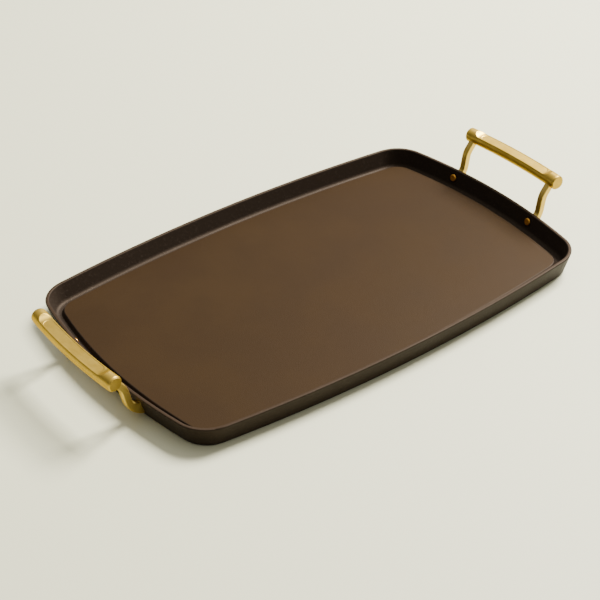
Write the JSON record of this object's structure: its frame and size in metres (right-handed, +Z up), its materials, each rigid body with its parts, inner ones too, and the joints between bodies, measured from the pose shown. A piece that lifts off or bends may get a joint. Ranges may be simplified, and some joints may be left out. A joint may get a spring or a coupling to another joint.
{
  "type": "griddle tray",
  "caption": "Shallow rectangular cast-iron griddle tray with bowed sides, a raised flat cooking surface in a grease gutter, and a riveted brass bar handle on each short side.",
  "frame": {"origin": "on the resting plane, under the middle of the tray", "axes": "+X along the tray from handle to handle, +Y across it, +Z up"},
  "size_m": [0.522, 0.2906, 0.0574],
  "materials": {
    "seasoned_iron": "satin, seasoned bronze-brown",
    "handle_brass": "lightly brushed, clear lacquered",
    "rivet_brass": "satin, a little darkened"
  },
  "bodies": {
    "root": {"griddle_pan": "seasoned_iron", "left_grip": "handle_brass", "right_grip": "handle_brass", "left_front_leg": "handle_brass", "left_back_leg": "handle_brass", "right_front_leg": "handle_brass", "right_back_leg": "handle_brass", "left_front_rivet": "rivet_brass", "left_back_rivet": "rivet_brass", "right_front_rivet": "rivet_brass", "right_back_rivet": "rivet_brass"}
  },
  "joints": []
}
